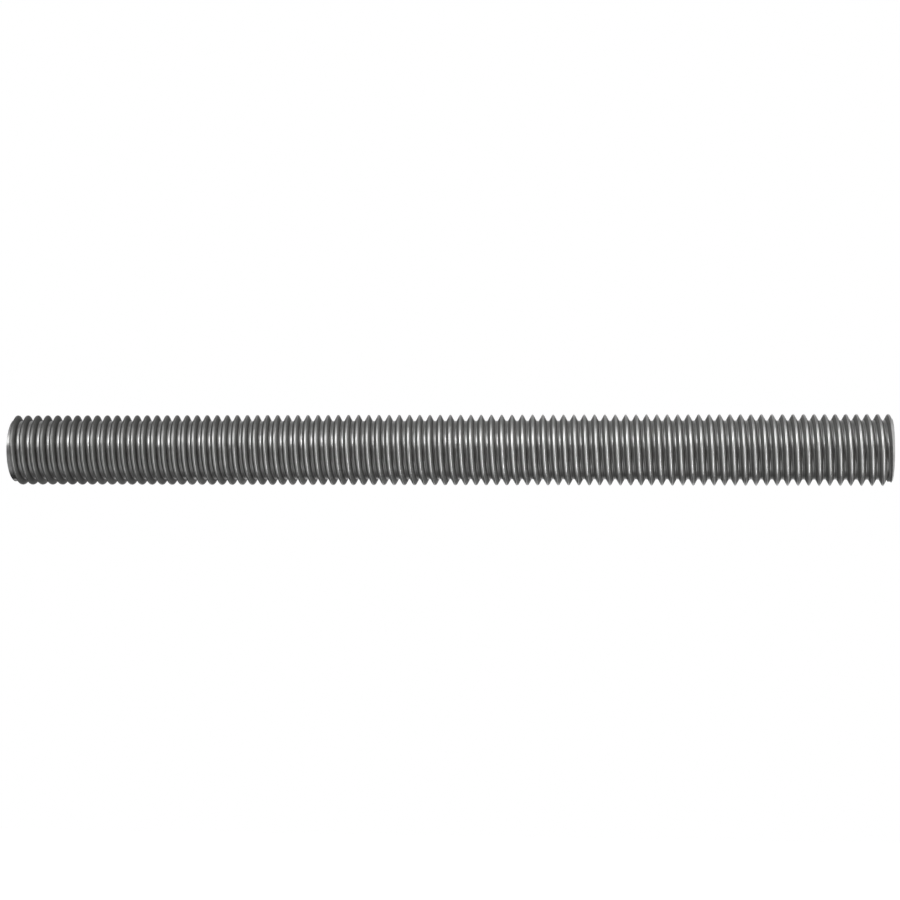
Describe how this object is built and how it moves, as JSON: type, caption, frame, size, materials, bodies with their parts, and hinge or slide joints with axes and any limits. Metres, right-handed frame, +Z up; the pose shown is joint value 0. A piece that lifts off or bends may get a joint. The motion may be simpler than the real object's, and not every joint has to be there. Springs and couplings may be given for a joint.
{
  "type": "threaded rod",
  "caption": "Fully threaded metric steel rod with a right-hand thread from end to end and a small chamfer at each flat end.",
  "frame": {"origin": "middle of the rod, on its axis", "axes": "+X along the rod's axis towards its right end, +Z up, and a crest of the thread stands 0.6 mm from the left end on the +Z side"},
  "size_m": [0.15, 0.012, 0.012],
  "materials": {
    "steel": "bright rolled steel, neutral grey, satin flanks and burnished crests"
  },
  "bodies": {
    "root": {"threaded_rod": "steel"}
  },
  "joints": []
}
